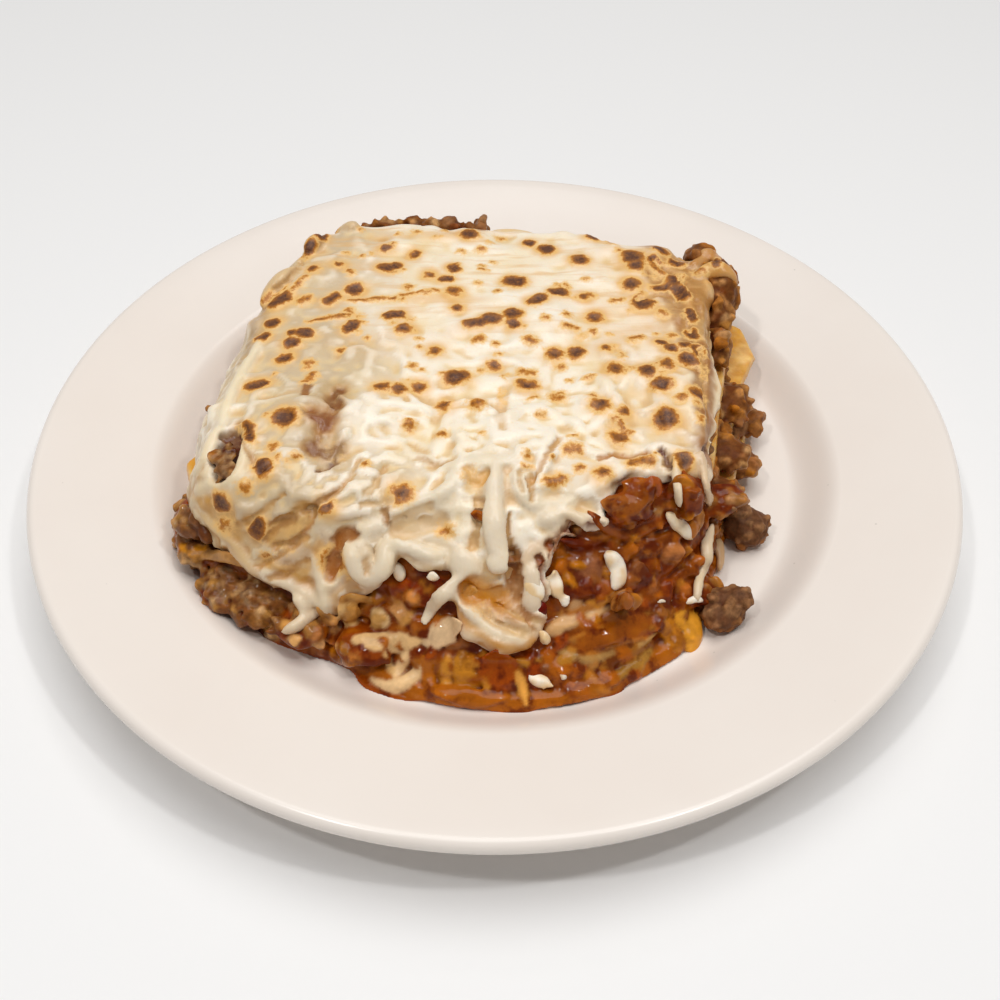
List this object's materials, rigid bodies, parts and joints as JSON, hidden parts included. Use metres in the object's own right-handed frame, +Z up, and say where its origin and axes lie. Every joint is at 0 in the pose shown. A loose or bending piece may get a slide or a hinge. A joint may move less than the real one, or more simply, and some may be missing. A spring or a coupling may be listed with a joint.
{
  "type": "plate of lasagna",
  "caption": "Square cut of baked lasagna, layered pasta and minced beef under browned melted cheese, on a wide-rimmed round plate.",
  "frame": {"origin": "middle of the plate's foot, on the surface that it stands on", "axes": "+Z up; -Y towards the slumped front of the lasagna, +X towards its cut right side"},
  "size_m": [0.23, 0.23, 0.0439],
  "materials": {
    "glaze": "smooth gloss glaze, warm white",
    "pasta": "cooked egg pasta, moist",
    "beef": "minced beef in tomato sauce, oily",
    "cheese": "melted mozzarella with toasted spots"
  },
  "bodies": {
    "root": {"plate": "glaze", "pasta_bottom": "pasta", "pasta_middle": "pasta", "pasta_top": "pasta", "beef_bottom": "beef", "beef_middle": "beef", "beef_top": "beef", "cheese_blanket": "cheese", "crumble_right_rear": "beef", "crumble_right_front": "beef"}
  },
  "joints": []
}
